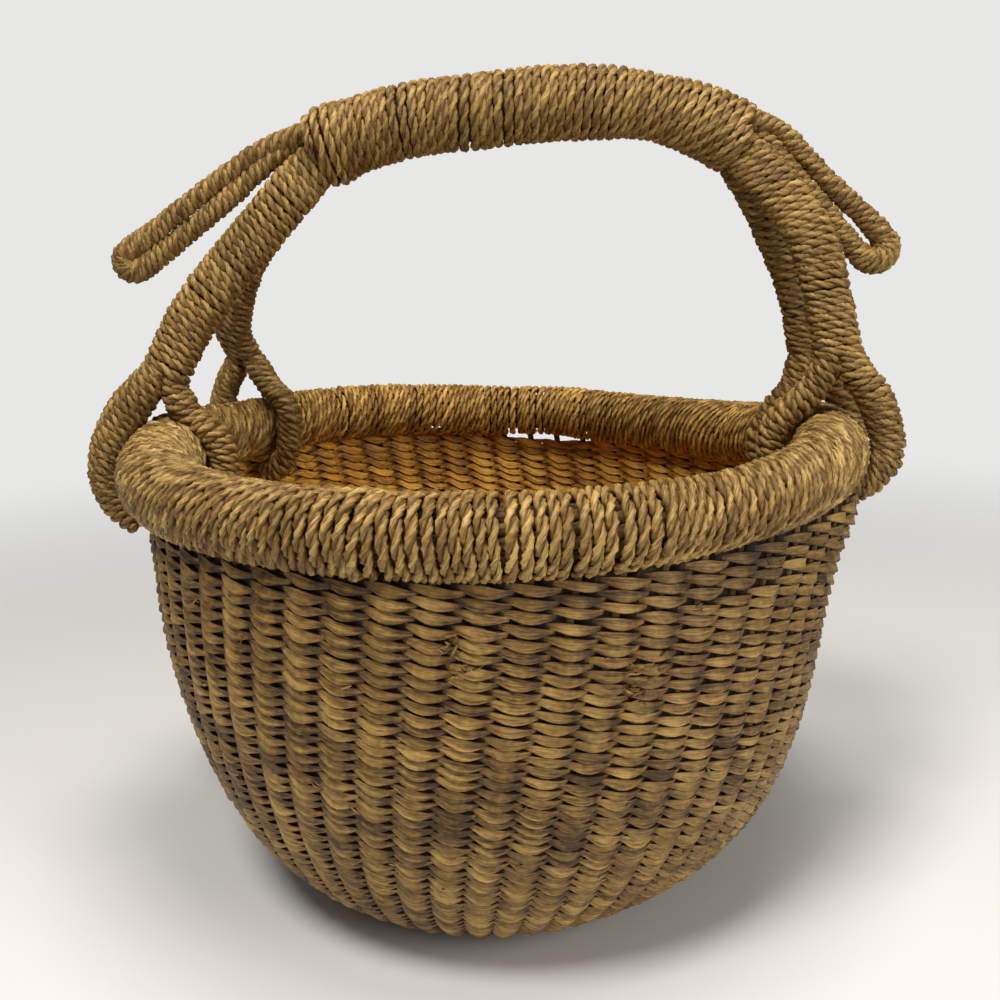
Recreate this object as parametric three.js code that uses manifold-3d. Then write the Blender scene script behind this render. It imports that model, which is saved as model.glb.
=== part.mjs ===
// A round twined straw basket with a rolled rim and one fixed arched handle that is bound with straw cord.
// Millimetres, +Z up, origin on the floor under the middle of the base. The front faces -Y.
import * as THREE from "three";
import { mergeVertices } from "three/addons/utils/BufferGeometryUtils.js";
import Module from "manifold-3d";

const wasm = await Module();
wasm.setup();

// Bowl: its wall is twined in three layers, an outer weft, the upright stakes and an inner weft.
const rimHeight = 215;
const bowlRadius = 171;
const shoulderFullness = 4.55;
const footRadius = 62;
const weftThickness = 1.8;
const stakeThickness = 2.6;
const stakeWidth = 3.4;
const stakeCount = 60;
const hubRadius = 38;
const layerGap = 0.35;
const wallProfileSteps = 5;
const stationCrowding = 0.8;
const floorEase = 4;

// Rim roll: a bundle of straw bound over with cord, open along its underside where the stakes go in.
const rimInset = 8;
const rimRadius = bowlRadius - rimInset;
const rollRadius = 17.3;
const rollSkin = 4.1;
const coreGap = 0.4;
const slotGap = 0.6;
const underRollGap = 3.6;
const rollSides = 8;
const rollInnerSides = 6;
const rollFacets = 48;
const slotSlackAngle = 4;

// The hand-made rim isn't level, but rises toward the handle ends, and the bowl leans a little to the right.
const saddleLift = 3.4;
const saddleTurn = 31;
const rightLift = 2.2;
const bowlLean = 1.6;

// Handle: four rods, bound in pairs into two arches that meet in one grip.
const rodRadius = 4.2;
const rodSpread = 4.5;
const archSpread = 4.95;
const bindThickness = 2.6;
const bindWidth = 3.4;
const bindGap = 0.5;
const fitGap = 0.3;
const rodSides = 6;
const archStations = 26;

// Grip
const gripShift = 19;
const gripHeight = 383;
const gripHalfLength = 98;
const gripCrest = 21;
const gripDroop = 18.6;
const gripDroopPower = 2.6;
const gripEndEase = 2;
const gripHollowRadius = 14.2;
const gripCoreRadius = 16;
const gripDrop = 3.2;
const underwrapShort = 12;
const gripTurns = 24;
const gripTurnSteps = 8;
const gripSides = 12;
const gripSteps = 8;
const gripBindingInset = 0.02;
const gripStations = [-0.93, -0.6, -0.2, 0.2, 0.6, 0.93];

// Legs and prongs: each leg comes down from the grip over a knee to its fork, and parts there into an outer
// and an inner prong astride the roll. A knee's share is its height, from the forks at 0 to the grip at 1.
const mostTurns = 23;
const legPitch = 5.1;
const legTopGap = 12;
const legTurnSteps = 6;
const legMargin = 1;
const forkMargin = 0.015;
const prongRadius = 8.6;
const prongGap = 0.9;
const forkRise = 45;
const outerRise = 42;
const prongTuck = 29;
const innerTipAngle = -74;
const legs = {
  frontLeft: {
    prongs: { azimuth: 185, forkInset: 2, bow: 33.5, tipAngle: -66 },
    knee: { azimuth: 184.2, inset: 29, share: 0.35 },
  },
  rearLeft: {
    prongs: { azimuth: 151, forkInset: 0, bow: 27.5, tipAngle: -58 },
    knee: { azimuth: 159.8, inset: 9, share: 0.333 },
  },
  frontRight: {
    prongs: { azimuth: -11, forkInset: -2, bow: 28.5, tipAngle: -42 },
    knee: { azimuth: -6.7, inset: 7, share: 0.42 },
  },
  rearRight: {
    prongs: { azimuth: 8, forkInset: -2, bow: 27.5, tipAngle: -48 },
    knee: { azimuth: 6.1, inset: 10.5, share: 0.374 },
  },
};

// Ears: a bound strand doubled back on itself at each end of the grip. It starts outside and above the grip's
// end, and bends back past the rim's middle line. The bend's share is a height like a knee's.
const earRodRadius = 2.6;
const earRadius = 5.7;
const earBuried = 42;
const earSpread = 6.4;
const earSides = 6;
const ears = {
  left: { side: -1, start: 17, rise: 1.7, past: 12, aside: -2, bendShare: 0.455, eye: 6.2 },
  right: { side: 1, start: 11, rise: 5.2, past: 21, aside: 3, bendShare: 0.435, eye: 8.8 },
};

const straw = new THREE.Color(0xb08d55);
const paleStraw = new THREE.Color(0xc4a368);
const dullStraw = new THREE.Color(0x94733f);

const degrees = (angle) => THREE.MathUtils.degToRad(angle);
const group = new THREE.Group();

function addNode(name, geometry, color, roughness) {
  const material = new THREE.MeshStandardMaterial({ color, roughness, metalness: 0 });
  const mesh = new THREE.Mesh(geometry, material);
  mesh.name = name;
  settle(geometry);
  group.add(mesh);
}

// Moves a place with the bowl's lean, and as far as the hand-made rim stands there above its level plane.
function unevenPlace(point) {
  const turn = Math.atan2(point.y, point.x);
  const lift = saddleLift * Math.cos(2 * turn + 2 * degrees(saddleTurn)) + rightLift * Math.cos(3 * turn);
  const below = THREE.MathUtils.smoothstep(point.z, 0, rimHeight);
  const above = THREE.MathUtils.smoothstep(point.z, rimHeight, gripHeight - gripDroop - gripCoreRadius);
  return new THREE.Vector3(point.x + bowlLean * below, point.y, point.z + lift * below * (1 - above));
}

function settle(geometry) {
  const position = geometry.getAttribute("position");
  const point = new THREE.Vector3();
  for (let i = 0; i < position.count; i += 1) {
    point.fromBufferAttribute(position, i);
    position.setXYZ(i, ...unevenPlace(point));
  }
  return geometry;
}

// Booleans
function toSolid(geometry) {
  const bare = geometry.clone();
  bare.deleteAttribute("normal");
  bare.deleteAttribute("uv");
  const merged = mergeVertices(bare, 1e-4);
  return new wasm.Manifold(
    new wasm.Mesh({
      numProp: 3,
      vertProperties: new Float32Array(merged.attributes.position.array),
      triVerts: new Uint32Array(merged.index.array),
    }),
  );
}

function toGeometry(solid) {
  const mesh = solid.getMesh();
  const geometry = new THREE.BufferGeometry();
  geometry.setAttribute("position", new THREE.BufferAttribute(new Float32Array(mesh.vertProperties), 3));
  geometry.setIndex(new THREE.BufferAttribute(new Uint32Array(mesh.triVerts), 1));
  return geometry;
}

// Bowl wall: one formula gives the outer outline, and each layer is an offset of it.
function wallPoint(angle, inset) {
  const radius = (a) => bowlRadius * Math.cos(a) ** (2 / shoulderFullness);
  const height = (a) => rimHeight * (1 - Math.sin(a));
  const small = 1e-3;
  const alongRadius = radius(angle + small) - radius(angle - small);
  const alongHeight = height(angle + small) - height(angle - small);
  const length = Math.hypot(alongRadius, alongHeight);
  return new THREE.Vector2(
    radius(angle) + (inset * alongHeight) / length,
    height(angle) - (inset * alongRadius) / length,
  );
}

const footAngle = Math.acos((footRadius / bowlRadius) ** (shoulderFullness / 2));
const footHeight = wallPoint(footAngle, 0).y;

// The outline of a layer's face from just under the roll down to the foot, where the wall turns flat.
function wallCurve(inset, topDepth) {
  const topAngle = Math.asin(topDepth / rimHeight);
  const points = [];
  for (let i = 0; i <= wallProfileSteps; i += 1) {
    const share = (i / wallProfileSteps) ** stationCrowding;
    const point = wallPoint(topAngle + (footAngle - topAngle) * share, inset);
    points.push(new THREE.Vector2(point.x, point.y - footHeight * share ** floorEase));
  }
  return points;
}

function revolve(profile, facets) {
  const geometry = new THREE.LatheGeometry(profile, facets);
  return geometry.rotateX(Math.PI / 2);
}

const wallTopDepth = rollRadius + underRollGap;

function weaveLayer(outerInset) {
  const outer = wallCurve(outerInset, wallTopDepth);
  const inner = wallCurve(outerInset + weftThickness, wallTopDepth).reverse();
  const floorBelow = new THREE.Vector2(0, outer[outer.length - 1].y);
  const floorAbove = new THREE.Vector2(0, inner[0].y);
  const profile = [floorAbove, ...inner, ...outer, floorBelow].reverse();
  return revolve(profile, stakeCount);
}

const stakeInset = weftThickness + layerGap;
const innerInset = stakeInset + stakeThickness + layerGap;

// The stakes ring the wall and run in to one crossing at the middle of the base.
function warpStakes() {
  const innerFace = bowlRadius - stakeInset - stakeThickness - rimRadius;
  const stakeTop = Math.sqrt((rollRadius - rollSkin) ** 2 - innerFace ** 2);
  const face = (inset) => [
    wallPoint(Math.asin(stakeTop / rimHeight), inset),
    ...wallCurve(inset, wallTopDepth),
  ];
  const outer = face(stakeInset);
  const inner = face(stakeInset + stakeThickness).reverse();
  const start = hubRadius - stakeThickness;
  const low = new THREE.Vector2(start, outer[outer.length - 1].y);
  const high = new THREE.Vector2(start, inner[0].y);
  const strip = new THREE.Shape([low, high, ...inner, ...outer]);
  const stake = new THREE.ExtrudeGeometry(strip, { depth: stakeWidth, bevelEnabled: false });
  stake.translate(0, 0, -stakeWidth / 2).rotateX(Math.PI / 2);
  const hub = new THREE.CylinderGeometry(hubRadius, hubRadius, stakeThickness, stakeCount);
  hub.rotateX(Math.PI / 2).translate(0, 0, (low.y + high.y) / 2);
  let frame = toSolid(hub);
  for (let i = 0; i < stakeCount; i += 1) {
    const turned = stake.clone().rotateZ((2 * Math.PI * i) / stakeCount);
    frame = frame.add(toSolid(turned));
  }
  return toGeometry(frame);
}

// Rim: the arc of a circle round the roll's middle, open where the stakes come in from below.
function rollArc(radius, sides) {
  const stakeOffset = bowlRadius - stakeInset - stakeThickness / 2 - rimRadius;
  const slotMiddle = -Math.acos(stakeOffset / rollRadius);
  const slotHalfWidth = stakeThickness / 2 + slotGap;
  const halfSlot = Math.asin(slotHalfWidth / (rollRadius - rollSkin)) + degrees(slotSlackAngle);
  const points = [];
  for (let i = 0; i <= sides; i += 1) {
    const angle = slotMiddle + halfSlot + ((2 * Math.PI - 2 * halfSlot) * i) / sides;
    points.push(new THREE.Vector2(rimRadius + radius * Math.cos(angle), radius * Math.sin(angle)));
  }
  return points;
}

function rollSolid(profile) {
  profile.push(profile[0].clone());
  return revolve(profile, rollFacets).translate(0, 0, rimHeight);
}

const rimCore = () => rollSolid(rollArc(rollRadius - rollSkin - coreGap, rollInnerSides));

function rimWrap() {
  const inside = rollArc(rollRadius - rollSkin, rollInnerSides).reverse();
  return rollSolid([...rollArc(rollRadius, rollSides), ...inside]);
}

// Handle lines
function gripPoint(x) {
  const fromCrest = x - gripShift - gripCrest;
  const span = gripHalfLength + gripEndEase - Math.sign(fromCrest) * gripCrest;
  const share = Math.abs(fromCrest) / span;
  return new THREE.Vector3(x, 0, gripHeight - gripDroop * share ** gripDroopPower);
}

function pointAround(azimuth, radius, height) {
  const turn = degrees(azimuth);
  return new THREE.Vector3(radius * Math.cos(turn), radius * Math.sin(turn), height);
}

const forkHeight = rimHeight + forkRise;
const archHeight = (share) => forkHeight + share * (gripHeight - forkHeight);
const forkPoint = ({ prongs }) => pointAround(prongs.azimuth, rimRadius - prongs.forkInset, forkHeight);
const kneePoint = ({ knee }) => pointAround(knee.azimuth, rimRadius - knee.inset, archHeight(knee.share));

function archLine(left, right, side) {
  const across = new THREE.Vector3(0, side * archSpread, -gripDrop);
  const grip = gripStations.map((share) =>
    gripPoint(gripShift + share * gripHalfLength).add(across),
  );
  const leftLeg = [forkPoint(left), kneePoint(left)];
  return new THREE.CatmullRomCurve3([...leftLeg, ...grip, kneePoint(right), forkPoint(right)]);
}

const mouthMiddle = new THREE.Vector3(gripShift, 0, rimHeight);

// The direction across a line that points away from the middle of the mouth.
function outwardFrom(line, share) {
  const tangent = line.getTangentAt(share);
  const outward = line.getPointAt(share).sub(mouthMiddle);
  return outward.addScaledVector(tangent, -outward.dot(tangent)).normalize();
}

// A curve that is cut into steps at its own stations, so that covers and cores share their bends.
class StationCurve extends THREE.CatmullRomCurve3 {
  getUtoTmapping(share) {
    return share;
  }
}

// The stretch of a station curve from one station to another.
class StretchCurve extends THREE.Curve {
  constructor(whole, first, last) {
    super();
    this.whole = whole;
    this.first = first / (whole.points.length - 1);
    this.last = last / (whole.points.length - 1);
    this.steps = last - first;
  }

  getUtoTmapping(share) {
    return share;
  }

  getPoint(share, target = new THREE.Vector3()) {
    return this.whole.getPoint(this.first + (this.last - this.first) * share, target);
  }
}

const prongShares = [1, 0.68, 0.36];
const prongAngles = [0, 21, 42, 62];
const prongStations = prongShares.length + prongAngles.length;

// A prong goes round the roll on a half oval from its tip to the fork. The inner one hugs the roll.
function prongPoints({ prongs }, side) {
  const hug = rollRadius + prongGap + prongRadius;
  const bow = side > 0 ? prongs.bow : -hug;
  const rise = side > 0 ? outerRise : hug;
  const tuck = side > 0 ? prongTuck : hug;
  const tipAngle = side > 0 ? prongs.tipAngle : innerTipAngle;
  const angles = [...prongShares.map((share) => share * tipAngle), ...prongAngles];
  return angles.map((angle) => {
    const height = (angle < 0 ? tuck : rise) * Math.sin(degrees(angle));
    const reach = rimRadius + bow * Math.cos(degrees(angle));
    return pointAround(prongs.azimuth, reach, rimHeight + height);
  });
}

function rodLine(arch, side) {
  const middle = [];
  for (let i = 0; i <= archStations; i += 1) {
    const share = i / archStations;
    const offset = outwardFrom(arch.line, share).multiplyScalar(side * rodSpread);
    middle.push(arch.line.getPointAt(share).add(offset));
  }
  const start = prongPoints(arch.left, side);
  const end = prongPoints(arch.right, side).reverse();
  return new StationCurve([...start, ...middle, ...end]);
}

const archOf = (left, right, side) => ({ left, right, line: archLine(left, right, side) });
const arches = {
  front: archOf(legs.frontLeft, legs.frontRight, -1),
  rear: archOf(legs.rearLeft, legs.rearRight, 1),
};

function roundShape(radius, sides) {
  const points = [];
  for (let i = 0; i < sides; i += 1) {
    const angle = (2 * Math.PI * i) / sides;
    points.push(new THREE.Vector2(radius * Math.cos(angle), radius * Math.sin(angle)));
  }
  return points;
}

// A shape carried along a line, with one ring at each of the line's stations.
function alongLine(shape, line) {
  const steps = line.steps ?? line.points.length - 1;
  return new THREE.ExtrudeGeometry(shape, { extrudePath: line, steps, bevelEnabled: false });
}

const tube = (line, radius, sides) => alongLine(new THREE.Shape(roundShape(radius, sides)), line);

// A cover's flats clear its core by the gap, however the two are turned.
const clearRadius = (coreRadius, sides) => (coreRadius + fitGap) / Math.cos(Math.PI / sides);

function sleeve(line, outerRadius, coreRadius, sides) {
  const shape = new THREE.Shape(roundShape(outerRadius, sides));
  shape.holes.push(new THREE.Path(roundShape(clearRadius(coreRadius, sides), sides)));
  return alongLine(shape, line);
}

// The first share of a line, going from one end, where another line is at least this far away.
function shareWhereApart(line, other, from, to, distance) {
  const steps = 120;
  const others = other.getSpacedPoints(400);
  for (let i = 0; i <= steps; i += 1) {
    const share = from + ((to - from) * i) / steps;
    const point = line.getPointAt(share);
    const nearest = Math.min(...others.map((place) => place.distanceTo(point)));
    if (nearest >= distance) {
      return share;
    }
  }
  return to;
}

function shareNearest(line, point, from, to) {
  const steps = 300;
  let best = from;
  for (let i = 0; i <= steps; i += 1) {
    const share = from + ((to - from) * i) / steps;
    if (line.getPointAt(share).distanceTo(point) < line.getPointAt(best).distanceTo(point)) {
      best = share;
    }
  }
  return best;
}

// Joins rings of points into one closed tube.
function ringsToGeometry(points, sides) {
  const position = new Float32Array(points.flatMap((point) => point.toArray()));
  const index = [];
  const rings = points.length / sides;
  for (let ring = 0; ring + 1 < rings; ring += 1) {
    for (let side = 0; side < sides; side += 1) {
      const a = ring * sides + side;
      const b = ring * sides + ((side + 1) % sides);
      index.push(a, b, b + sides, a, b + sides, a + sides);
    }
  }
  const last = (rings - 1) * sides;
  for (let side = 1; side + 1 < sides; side += 1) {
    index.push(0, side + 1, side);
    index.push(last, last + side, last + side + 1);
  }
  const geometry = new THREE.BufferGeometry();
  geometry.setAttribute("position", new THREE.BufferAttribute(position, 3));
  return geometry.setIndex(index);
}

// A flat cord's corners, as shares of its width along the line and of its thickness across it.
const cordCorners = [[-0.5, -0.5], [-0.5, 0.5], [0.5, 0.5], [0.5, -0.5]];

// The least distance between one turn of a winding and the next, from its corner points.
function leastTurnGap(corners, turnSteps) {
  let least = Infinity;
  const reach = turnSteps * cordCorners.length;
  for (let i = 0; i + reach < corners.length; i += 1) {
    const last = Math.min(i + reach + cordCorners.length, corners.length);
    for (let j = i + reach - cordCorners.length; j < last; j += 1) {
      least = Math.min(least, corners[i].distanceTo(corners[j]));
    }
  }
  return least;
}

// A flat cord wound round a line as one unbroken tube. The outline gives each step's place across the line.
function winding(name, line, from, to, outline, turns) {
  const rings = turns * outline.length;
  const corners = [];
  for (let i = 0; i <= rings; i += 1) {
    const share = from + ((to - from) * i) / rings;
    const along = line.getTangentAt(share);
    const outward = outwardFrom(line, share);
    const across = along.clone().cross(outward);
    const step = outline[i % outline.length];
    const radial = across.clone().multiplyScalar(Math.cos(step.angle));
    radial.addScaledVector(outward, Math.sin(step.angle));
    const middle = line.getPointAt(share).addScaledVector(across, step.x).addScaledVector(outward, step.y);
    for (const [alongShare, radialShare] of cordCorners) {
      const corner = middle.clone().addScaledVector(along, alongShare * bindWidth);
      corners.push(corner.addScaledVector(radial, radialShare * bindThickness));
    }
  }
  const gap = leastTurnGap(corners, outline.length).toFixed(2);
  console.log(name + ": " + turns + " turns, least gap " + gap);
  return ringsToGeometry(corners, cordCorners.length);
}

// The outline of a turn: a circle, or with a spread two half circles round a pair of rods.
function turnOutline(coreRadius, spread, steps) {
  const half = Math.PI / steps;
  const radius = (coreRadius + bindGap + bindThickness / 2) / Math.cos(half);
  const outline = [];
  for (let i = 0; i < steps; i += 1) {
    const angle = half + 2 * half * i;
    const end = Math.sin(angle) > 0 ? spread : -spread;
    outline.push({ angle, x: radius * Math.cos(angle), y: radius * Math.sin(angle) + end });
  }
  return outline;
}

const rods = {
  frontOuter: rodLine(arches.front, 1),
  frontInner: rodLine(arches.front, -1),
  rearOuter: rodLine(arches.rear, 1),
  rearInner: rodLine(arches.rear, -1),
};

// The grip's middle line, from one end to the other or short of its ends.
function gripStretch(halfLength) {
  const points = [];
  for (let i = 0; i <= gripSteps; i += 1) {
    points.push(gripPoint(gripShift + halfLength * ((2 * i) / gripSteps - 1)));
  }
  return new StationCurve(points);
}

const gripLine = gripStretch(gripHalfLength);
const earReach = gripHollowRadius * Math.cos(Math.PI / gripSides) - fitGap - earRodRadius;
const earPairRise = Math.sqrt(earReach ** 2 - (earSpread / 2) ** 2);

// An ear's strand: buried in the grip, out to the bend, round it, and back in beside itself.
function earLine(ear) {
  const root = gripPoint(gripShift + ear.side * gripHalfLength);
  root.add(new THREE.Vector3(ear.side * ear.start, 0, ear.rise));
  const bend = new THREE.Vector3(ear.side * (rimRadius + ear.past), ear.aside, archHeight(ear.bendShare));
  const axis = bend.clone().sub(root).normalize();
  const upward = new THREE.Vector3(0, 0, 1).addScaledVector(axis, -axis.z).normalize();
  const half = earRadius + fitGap;
  const strand = (side) => {
    const inGrip = (depth) => {
      const point = gripPoint(gripShift + ear.side * (gripHalfLength - depth));
      return point.add(new THREE.Vector3(0, (-side * earSpread) / 2, earPairRise));
    };
    const outside = (share, reach) => root.clone().lerp(bend, share).addScaledVector(upward, side * reach);
    return [
      ...[earBuried, earBuried / 2, 0].map(inGrip),
      outside(0.1, earSpread / 2),
      outside(0.4, half),
      outside(0.62, half),
      outside(0.8, (half + ear.eye) / 2),
      outside(1, ear.eye),
      outside(1, ear.eye * 0.72).addScaledVector(axis, ear.eye * 0.7),
    ];
  };
  const tip = bend.clone().addScaledVector(axis, ear.eye);
  return new StationCurve([...strand(1), tip, ...strand(-1).reverse()]);
}

const earLines = { left: earLine(ears.left), right: earLine(ears.right) };
const earStations = 19;
const earWrapStart = 4;

function gripSleeve() {
  const shape = new THREE.Shape(roundShape(gripCoreRadius, gripSides));
  shape.holes.push(new THREE.Path(roundShape(gripHollowRadius, gripSides)));
  const line = gripStretch(gripHalfLength - underwrapShort);
  return alongLine(shape, line);
}

const gripOutline = turnOutline(gripCoreRadius, 0, gripTurnSteps);

addNode("outer_weave", weaveLayer(0), straw, 0.8);
addNode("inner_weave", weaveLayer(innerInset), dullStraw, 0.85);
addNode("warp_stakes", warpStakes(), dullStraw, 0.85);
addNode("rim_core", rimCore(), dullStraw, 0.9);
addNode("rim_wrap", rimWrap(), paleStraw, 0.75);
for (const [name, line] of Object.entries(rods)) {
  const label = name.startsWith("front") ? "front_arch_" : "rear_arch_";
  const place = name.endsWith("Outer") ? "outer_rod" : "inner_rod";
  addNode(label + place, tube(line, rodRadius, rodSides), dullStraw, 0.85);
}
addNode("grip_underwrap", gripSleeve(), dullStraw, 0.85);
const gripEnds = [gripBindingInset, 1 - gripBindingInset];
const gripCord = winding("grip_binding", gripLine, ...gripEnds, gripOutline, gripTurns);
addNode("grip_binding", gripCord, paleStraw, 0.75);

function addProngWrap(name, rod, fromEnd) {
  const last = rod.points.length - 1;
  const first = fromEnd ? last - prongStations + 1 : 0;
  const line = new StretchCurve(rod, first, first + prongStations - 1);
  addNode(name, sleeve(line, prongRadius, rodRadius, rodSides), straw, 0.8);
}

for (const arch of ["front", "rear"]) {
  for (const place of ["Outer", "Inner"]) {
    const rod = rods[arch + place];
    const label = place.toLowerCase() + "_prong_wrap";
    addProngWrap(arch + "_left_" + label, rod, false);
    addProngWrap(arch + "_right_" + label, rod, true);
  }
}

const legDepth = 2 * (rodRadius + bindGap + bindThickness) + legMargin;
const legOutline = turnOutline(rodRadius, rodSpread, legTurnSteps);

// A leg's binding runs from the fork up to where the two arches come too close to be bound apart.
function legBinding(label, line, other, side) {
  const fork = side === "left" ? forkMargin : 1 - forkMargin;
  const inward = side === "left" ? 1 : -1;
  const gripEnd = gripLine.getPointAt(side === "left" ? 0 : 1);
  const end = shareNearest(line, gripEnd, fork, 0.5);
  const start = end - (inward * legTopGap) / line.getLength();
  const top = shareWhereApart(line, other, start, fork, legDepth);
  const turns = Math.min(mostTurns, Math.floor((Math.abs(top - fork) * line.getLength()) / legPitch));
  return winding(label, line, fork, top, legOutline, turns);
}

for (const arch of ["front", "rear"]) {
  const other = arch === "front" ? "rear" : "front";
  for (const side of ["left", "right"]) {
    const name = arch + "_" + side + "_leg_binding";
    addNode(name, legBinding(name, arches[arch].line, arches[other].line, side), straw, 0.8);
  }
}

for (const [side, line] of Object.entries(earLines)) {
  addNode(side + "_ear_strand", tube(line, earRodRadius, earSides), dullStraw, 0.85);
  const wrapped = new StretchCurve(line, earWrapStart, earStations - 1 - earWrapStart);
  addNode(side + "_ear_wrap", sleeve(wrapped, earRadius, earRodRadius, earSides), straw, 0.8);
}

export default group;
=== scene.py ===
"""A round twined straw basket with a wrapped rim and a bound, forked handle. Sizes are in millimetres."""
import math

import bpy
import numpy as np
from mathutils import Matrix


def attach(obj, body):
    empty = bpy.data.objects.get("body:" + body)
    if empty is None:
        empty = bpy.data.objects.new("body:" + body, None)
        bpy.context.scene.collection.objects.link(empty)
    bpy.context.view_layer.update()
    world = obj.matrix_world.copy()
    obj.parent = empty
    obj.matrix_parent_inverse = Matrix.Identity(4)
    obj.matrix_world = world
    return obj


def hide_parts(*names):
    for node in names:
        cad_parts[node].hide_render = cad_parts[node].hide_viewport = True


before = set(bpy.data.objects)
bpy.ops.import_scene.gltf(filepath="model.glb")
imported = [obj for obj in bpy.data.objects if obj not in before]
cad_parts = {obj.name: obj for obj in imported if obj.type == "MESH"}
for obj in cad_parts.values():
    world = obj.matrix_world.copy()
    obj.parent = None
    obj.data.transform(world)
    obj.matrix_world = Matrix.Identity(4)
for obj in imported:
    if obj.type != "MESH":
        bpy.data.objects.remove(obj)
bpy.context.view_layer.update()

MM = 0.001
UP = np.array([0.0, 0.0, 1.0])

# Bowl, as in the solids: one outline, with the stakes in the middle of the wall
RIM_HEIGHT = 215.0
BOWL_RADIUS = 171.0
SHOULDER_FULLNESS = 4.55
FOOT_RADIUS = 62.0
STAKES = 60
COLUMN_ANGLE = 360.0 / STAKES
WALL_MIDDLE = 3.45
TOP_DEPTH = 13.0
FIRST_ROW = 5.6
STAKE_HALF_WIDTH = 1.9
STAKE_HALF_THICKNESS = 1.25
STAKE_DRIFT = 0.0094
STAKE_DRIFT_START = 0.87
STAKE_DRIFT_HEIGHT = 191.0
FILL_HALF_THICKNESS = 0.3

# Twined rows: two strands cross between the stakes and float over them by turns. The pitch goes with depth.
ROW_PITCH = ((0.0, 5.35), (60.0, 5.0), (115.0, 4.65), (200.0, 4.4), (330.0, 4.4))
RINGS_PER_STAKE = 7

# A strand's six-cornered section, from its upper edge: the sharp corners, painted shade on the upper and
# lower edges, and painted light on the inner face, lighter and tinted warmer
FLOAT_SIDES = 6
FLOAT_SECTION = (np.array([1, 0.84, -0.84, -1, -0.84, 0.84]), np.array([0, 1, 1, 0, -1, -1]))
FLOAT_CORNERS = (1, 2, 4, 5)
FLOAT_EDGE_PAINTED_SHADE = (-6.5, 0, 0, -6.5, 1, 1)
FLOAT_PAINTED_LIGHT = (0, 0, 0, 0, 1, 1)

# A float's path and size, and what changes where the weave is loose. Shares are of the pitch.
FLOAT_REACH = 2.45
FLOAT_DROP = 1.75
FLOAT_SAG = 0.75
FLOAT_LEAD = 0.38
FLOAT_FULL = 0.24
FLOAT_TILT = 0.4
FLOAT_HALF_THICKNESS = 0.55
FLOAT_SPREADS = {"reach": 0.16, "drop": 0.28, "tilt": 0.06, "height": 0.09, "shade": 0.75}
STRAND_SHADE_SPREAD = 0.4
MIDDLE_PITCH = 4.7
CROSSING_HALF_HEIGHT = 1.15
CROSSING_HALF_THICKNESS = 1.0
TIGHT_HALF_HEIGHT = 0.61
LOOSE_HALF_HEIGHT = 0.47
LOOSE_DROP = 1.0
LOOSE_AZIMUTH = -38
LOOSE_DEPTHS = (65.0, 150.0)
# Painted shade: how much a strand darkens where it crosses between the stakes
CROSSING_PAINTED_SHADE = 2.0
ROWS_PER_PIECE = 12

# Slots that show light between the rear of the roll and the first row
SLOT_AZIMUTH = 80
SLOT_WIDTH = 10
SLOT_DROP = 2.6
SLOT_ARCH = 1.2
SLOT_FILL_DROP = 9.5

# Bulges of the wall: azimuth, width, depth, reach down the wall and size
WALL_BULGES = (
    (195, 35, 70, 40, 1.1),
    (-16, 24, 7, 20, 6.6),
    (-17, 26, 64, 22, -1.2),
    (-15, 30, 145, 40, 1.2),
    (-98, 35, 225, 32, 3.0),
    (-55, 28, 190, 35, -1.2),
)

# Loose ends: azimuth and depth of each frayed spot, and single straws all over the wall
FRAYED_SPOTS = ((267, 38), (265.5, 28), (292, 42), (290, 51))
FRAYED_STRAWS = 16
STRAY_STRAWS = 120
STRAY_STANDOFF = 2.4

# Rim roll, and how its turns crowd, lean and bunch
RIM_RADIUS = 163.0
ROLL_RADIUS = 17.3
RIM_TURNS = 235
RIM_PIECES = 4
RIM_RINGS = 30
RIM_LAY = 17.5
RIM_APART = (0.58, 0.76)
RIM_PLY = 1.45
RIM_CROWDING = 0.12
RIM_SPARSE_AZIMUTH = math.radians(225)
RIM_LEAN = math.radians(-3)
RIM_LEAN_SPREAD = math.radians(4)
RIM_LEFT = (math.radians(220), 0.5)
RIM_LEFT_LEAN = math.radians(9)

# Hand-made spots of the roll: azimuth and width, and how much fatter, higher or further out they are
RIM_SWELL = (190, 30)
RIM_SWELL_SIZE, RIM_SWELL_RISE, RIM_SWELL_REACH = 2.9, 3.0, 1.4
RIM_HUMP = (180, 17)
RIM_HUMP_RISE, RIM_HUMP_REACH = 3.4, -1.0
RIM_RIGHT_HUMP = (6, 12)
RIM_RIGHT_HUMP_RISE = 2.0
RIM_SIZES = ((311, 16, -1.0), (-13, 9, 1.2))
RIM_GAPS = (273, 281, 286, 292)
RIM_GAP_SHIFT = math.radians(0.45)
# Painted light: the rear half of the roll is tinted brighter and warmer, up to this share of the inside tint
RIM_PAINTED_LIGHT = 0.25
RIM_MESS = (255, 1.8)
RIM_MESS_SIZE = 0.8
RIM_MESS_LEAN = math.radians(14)

# Bundle inside the roll: how far off its middle each layer lies, its straws and their radius
RIM_BUNDLE = ((0.0, 1, 5.2), (8.6, 11, 2.6))
BUNDLE_TWISTS = 3
BUNDLE_RINGS = 240

# Lift of the hand-made rim, and lean of the bowl
SADDLE_LIFT = 3.4
SADDLE_TURN = math.radians(31)
RIGHT_LIFT = 2.2
BOWL_LEAN = 1.6
RIM_DIPS = ((33, 17, -2.8), (76, 12, 1.6))

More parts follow.
